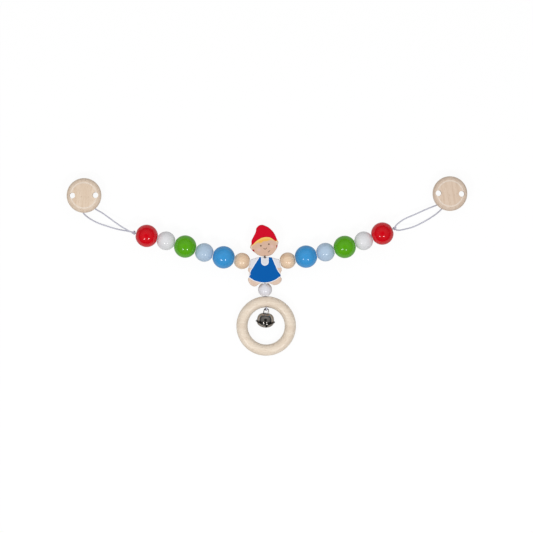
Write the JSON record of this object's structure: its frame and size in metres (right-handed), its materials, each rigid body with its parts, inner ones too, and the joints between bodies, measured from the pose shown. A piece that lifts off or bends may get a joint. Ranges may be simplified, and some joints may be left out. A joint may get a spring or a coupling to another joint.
{
  "type": "pram chain toy",
  "caption": "Pram chain toy: a painted wooden figure between arms of lacquered beads, with a cord loop and wooden clip at each end, and a ring with a small bell below.",
  "frame": {"origin": "on the table under the cord hole that runs through the figure's arms, on the figure's flat back", "axes": "+X to the right along the chain, +Y up the figure to its hat, +Z out of the figure's face, away from the table"},
  "size_m": [0.4162, 0.1866, 0.0234],
  "materials": {
    "natural_lacquer": "clear lacquer over bare maple",
    "blue_lacquer": "glossy lacquer",
    "pale_blue_lacquer": "glossy lacquer",
    "green_lacquer": "glossy lacquer",
    "white_lacquer": "glossy lacquer",
    "red_lacquer": "glossy lacquer",
    "drop_lacquer": "glossy white lacquer",
    "painted_body": "satin paint, blue dress with pale edges",
    "painted_head": "satin paint, red hat and a pale face",
    "beech": "smooth pale beech with a thin clear oil",
    "nickel": "nickel plate",
    "cord": "braided cord",
    "pad": "soft, matte"
  },
  "bodies": {
    "figure": {"figure_body": "painted_body", "arm_cord": "cord"},
    "neck": {"body_cord": "cord"},
    "head": {"figure_head": "painted_head", "neck_cord": "cord"},
    "natural_link_left": {"natural_bead_left_cord": "cord"},
    "natural_bead_left": {"natural_bead_left": "natural_lacquer"},
    "blue_link_left": {"blue_bead_left_cord": "cord"},
    "blue_bead_left": {"blue_bead_left": "blue_lacquer"},
    "pale_blue_link_left": {"pale_blue_bead_left_cord": "cord"},
    "pale_blue_bead_left": {"pale_blue_bead_left": "pale_blue_lacquer"},
    "green_link_left": {"green_bead_left_cord": "cord"},
    "green_bead_left": {"green_bead_left": "green_lacquer"},
    "white_link_left": {"white_bead_left_cord": "cord"},
    "white_bead_left": {"white_bead_left": "white_lacquer"},
    "red_link_left": {"red_bead_left_cord": "cord"},
    "red_bead_left": {"red_bead_left": "red_lacquer"},
    "loop_left": {"end_knot_left": "cord", "loop_cord_left": "cord"},
    "clip_left": {"clip_plate_left": "nickel", "clip_rivet_left": "nickel", "clip_pin_left": "nickel"},
    "clip_disc_left": {"clip_disc_left": "beech"},
    "clip_lever_left": {"clip_lever_left": "nickel", "clip_pad_left": "pad"},
    "natural_link_right": {"natural_bead_right_cord": "cord"},
    "natural_bead_right": {"natural_bead_right": "natural_lacquer"},
    "blue_link_right": {"blue_bead_right_cord": "cord"},
    "blue_bead_right": {"blue_bead_right": "blue_lacquer"},
    "pale_blue_link_right": {"pale_blue_bead_right_cord": "cord"},
    "pale_blue_bead_right": {"pale_blue_bead_right": "pale_blue_lacquer"},
    "green_link_right": {"green_bead_right_cord": "cord"},
    "green_bead_right": {"green_bead_right": "green_lacquer"},
    "white_link_right": {"white_bead_right_cord": "cord"},
    "white_bead_right": {"white_bead_right": "white_lacquer"},
    "red_link_right": {"red_bead_right_cord": "cord"},
    "red_bead_right": {"red_bead_right": "red_lacquer"},
    "loop_right": {"end_knot_right": "cord", "loop_cord_right": "cord"},
    "clip_right": {"clip_plate_right": "nickel", "clip_rivet_right": "nickel", "clip_pin_right": "nickel"},
    "clip_disc_right": {"clip_disc_right": "beech"},
    "clip_lever_right": {"clip_lever_right": "nickel", "clip_pad_right": "pad"},
    "drop_link": {"drop_bead_cord": "cord"},
    "drop_bead": {"drop_bead": "drop_lacquer"},
    "ring_link": {"drop_bead_lower_cord": "cord"},
    "ring": {"ring": "beech", "ring_cord": "cord", "bell_knot": "cord", "bell_loop": "cord"},
    "bell": {"bell_upper_shell": "nickel", "bell_lower_shell": "nickel", "bell_bail": "nickel"},
    "bell_pellet": {"bell_pellet": "nickel"}
  },
  "joints": [
    {"name": "neck_turn", "type": "hinge", "parent": "figure", "child": "neck", "pos_m": [0, 0.0053, 0.00725], "axis": [0, 1, 0], "continuous": true},
    {"name": "head_lean", "type": "hinge", "parent": "neck", "child": "head", "pos_m": [0, 0.0053, 0.00725], "axis": [0, 0, 1], "range_deg": [-13, 8]},
    {"name": "natural_bend_left", "type": "hinge", "parent": "figure", "child": "natural_link_left", "pos_m": [-0.0158, 0, 0.0117], "axis": [0, 0, -1], "range_deg": [-6, 9]},
    {"name": "natural_spin_left", "type": "hinge", "parent": "natural_link_left", "child": "natural_bead_left", "pos_m": [-0.02374, 0.00119, 0.0117], "axis": [-0.989, 0.1478, 0], "continuous": true},
    {"name": "blue_bend_left", "type": "hinge", "parent": "natural_link_left", "child": "blue_link_left", "pos_m": [-0.03169, 0.00237, 0.0117], "axis": [0, 0, -1], "range_deg": [-13.5, 4.5]},
    {"name": "blue_spin_left", "type": "hinge", "parent": "blue_link_left", "child": "blue_bead_left", "pos_m": [-0.04282, 0.00494, 0.0117], "axis": [-0.9744, 0.225, 0], "continuous": true},
    {"name": "pale_blue_bend_left", "type": "hinge", "parent": "blue_link_left", "child": "pale_blue_link_left", "pos_m": [-0.05395, 0.00751, 0.0117], "axis": [0, 0, -1], "range_deg": [-11.5, 6.5]},
    {"name": "pale_blue_spin_left", "type": "hinge", "parent": "pale_blue_link_left", "child": "pale_blue_bead_left", "pos_m": [-0.06294, 0.01001, 0.0117], "axis": [-0.9636, 0.2672, 0], "continuous": true},
    {"name": "green_bend_left", "type": "hinge", "parent": "pale_blue_link_left", "child": "green_link_left", "pos_m": [-0.07192, 0.0125, 0.0117], "axis": [0, 0, -1], "range_deg": [-12, 6]},
    {"name": "green_spin_left", "type": "hinge", "parent": "green_link_left", "child": "green_bead_left", "pos_m": [-0.08275, 0.01612, 0.0117], "axis": [-0.9483, 0.3173, 0], "continuous": true},
    {"name": "white_bend_left", "type": "hinge", "parent": "green_link_left", "child": "white_link_left", "pos_m": [-0.09359, 0.01975, 0.0117], "axis": [0, 0, -1], "range_deg": [-5, 13]},
    {"name": "white_spin_left", "type": "hinge", "parent": "white_link_left", "child": "white_bead_left", "pos_m": [-0.10261, 0.02208, 0.0117], "axis": [-0.9681, 0.2504, 0], "continuous": true},
    {"name": "red_bend_left", "type": "hinge", "parent": "white_link_left", "child": "red_link_left", "pos_m": [-0.11164, 0.02442, 0.0117], "axis": [0, 0, -1], "range_deg": [-8.5, 9.5]},
    {"name": "red_spin_left", "type": "hinge", "parent": "red_link_left", "child": "red_bead_left", "pos_m": [-0.12272, 0.02718, 0.0117], "axis": [-0.9703, 0.2419, 0], "continuous": true},
    {"name": "loop_swing_left", "type": "hinge", "parent": "red_link_left", "child": "loop_left", "pos_m": [-0.13623, 0.03055, 0.0117], "axis": [0, 0, 1], "range_deg": [-45, 45]},
    {"name": "clip_swing_left", "type": "hinge", "parent": "loop_left", "child": "clip_left", "pos_m": [-0.1836, 0.05636, 0.0028], "axis": [0, 0, 1], "range_deg": [-60, 60], "deforming": ["loop_cord_left"]},
    {"name": "clip_disc_turn_left", "type": "hinge", "parent": "clip_left", "child": "clip_disc_left", "pos_m": [-0.18793, 0.06925, 0.007], "axis": [0, 0, 1], "continuous": true},
    {"name": "clip_lever_open_left", "type": "hinge", "parent": "clip_left", "child": "clip_lever_left", "pos_m": [-0.19017, 0.07588, 0.003], "axis": [0.9478, 0.319, 0], "range_deg": [0, 95]},
    {"name": "natural_bend_right", "type": "hinge", "parent": "figure", "child": "natural_link_right", "pos_m": [0.0158, 0, 0.0117], "axis": [0, 0, 1], "range_deg": [-8, 6]},
    {"name": "natural_spin_right", "type": "hinge", "parent": "natural_link_right", "child": "natural_bead_right", "pos_m": [0.02369, 0.00153, 0.0117], "axis": [0.9816, 0.1908, 0], "continuous": true},
    {"name": "blue_bend_right", "type": "hinge", "parent": "natural_link_right", "child": "blue_link_right", "pos_m": [0.03157, 0.00307, 0.0117], "axis": [0, 0, 1], "range_deg": [-11, 7]},
    {"name": "blue_spin_right", "type": "hinge", "parent": "blue_link_right", "child": "blue_bead_right", "pos_m": [0.0427, 0.00564, 0.0117], "axis": [0.9744, 0.225, 0], "continuous": true},
    {"name": "pale_blue_bend_right", "type": "hinge", "parent": "blue_link_right", "child": "pale_blue_link_right", "pos_m": [0.05384, 0.00821, 0.0117], "axis": [0, 0, 1], "range_deg": [-9, 9]},
    {"name": "pale_blue_spin_right", "type": "hinge", "parent": "pale_blue_link_right", "child": "pale_blue_bead_right", "pos_m": [0.06292, 0.0103, 0.0117], "axis": [0.9744, 0.225, 0], "continuous": true},
    {"name": "green_bend_right", "type": "hinge", "parent": "pale_blue_link_right", "child": "green_link_right", "pos_m": [0.072, 0.0124, 0.0117], "axis": [0, 0, 1], "range_deg": [-13, 5]},
    {"name": "green_spin_right", "type": "hinge", "parent": "green_link_right", "child": "green_bead_right", "pos_m": [0.08293, 0.01574, 0.0117], "axis": [0.9563, 0.2924, 0], "continuous": true},
    {"name": "white_bend_right", "type": "hinge", "parent": "green_link_right", "child": "white_link_right", "pos_m": [0.09385, 0.01908, 0.0117], "axis": [0, 0, 1], "range_deg": [-11, 7]},
    {"name": "white_spin_right", "type": "hinge", "parent": "white_link_right", "child": "white_bead_right", "pos_m": [0.10267, 0.02211, 0.0117], "axis": [0.9455, 0.3256, 0], "continuous": true},
    {"name": "red_bend_right", "type": "hinge", "parent": "white_link_right", "child": "red_link_right", "pos_m": [0.11148, 0.02515, 0.0117], "axis": [0, 0, 1], "range_deg": [-13, 5]},
    {"name": "red_spin_right", "type": "hinge", "parent": "red_link_right", "child": "red_bead_right", "pos_m": [0.122, 0.02961, 0.0117], "axis": [0.9205, 0.3907, 0], "continuous": true},
    {"name": "loop_swing_right", "type": "hinge", "parent": "red_link_right", "child": "loop_right", "pos_m": [0.13481, 0.03505, 0.0117], "axis": [0, 0, 1], "range_deg": [-45, 45]},
    {"name": "clip_swing_right", "type": "hinge", "parent": "loop_right", "child": "clip_right", "pos_m": [0.18394, 0.06044, 0.0028], "axis": [0, 0, 1], "range_deg": [-60, 60], "deforming": ["loop_cord_right"]},
    {"name": "clip_disc_turn_right", "type": "hinge", "parent": "clip_right", "child": "clip_disc_right", "pos_m": [0.19231, 0.07115, 0.007], "axis": [0, 0, 1], "continuous": true},
    {"name": "clip_lever_open_right", "type": "hinge", "parent": "clip_right", "child": "clip_lever_right", "pos_m": [0.19662, 0.07667, 0.003], "axis": [0.788, -0.6157, 0], "range_deg": [0, 95]},
    {"name": "drop_swing", "type": "hinge", "parent": "figure", "child": "drop_link", "pos_m": [0, -0.022, 0.00725], "axis": [0, 0, 1], "range_deg": [-5, 2]},
    {"name": "drop_spin", "type": "hinge", "parent": "drop_link", "child": "drop_bead", "pos_m": [0.0002, -0.02865, 0.00725], "axis": [0.0305, -0.9995, 0], "continuous": true},
    {"name": "ring_twist", "type": "hinge", "parent": "drop_link", "child": "ring_link", "pos_m": [0.00059, -0.04135, 0.00725], "axis": [0.0305, -0.9995, 0], "continuous": true},
    {"name": "ring_lift", "type": "hinge", "parent": "ring_link", "child": "ring", "pos_m": [0.00059, -0.04135, 0.00725], "axis": [0.9995, 0.0305, 0], "range_deg": [-60, 60]},
    {"name": "bell_swing", "type": "hinge", "parent": "ring", "child": "bell", "pos_m": [0.00167, -0.04835, 0.01315], "axis": [0.9965, -0.0837, 0], "range_deg": [-25, 18]},
    {"name": "pellet_slide", "type": "slide", "parent": "bell", "child": "bell_pellet", "axis": [0.9965, -0.0837, 0], "range_m": [-0.0012, 0.0012]}
  ]
}
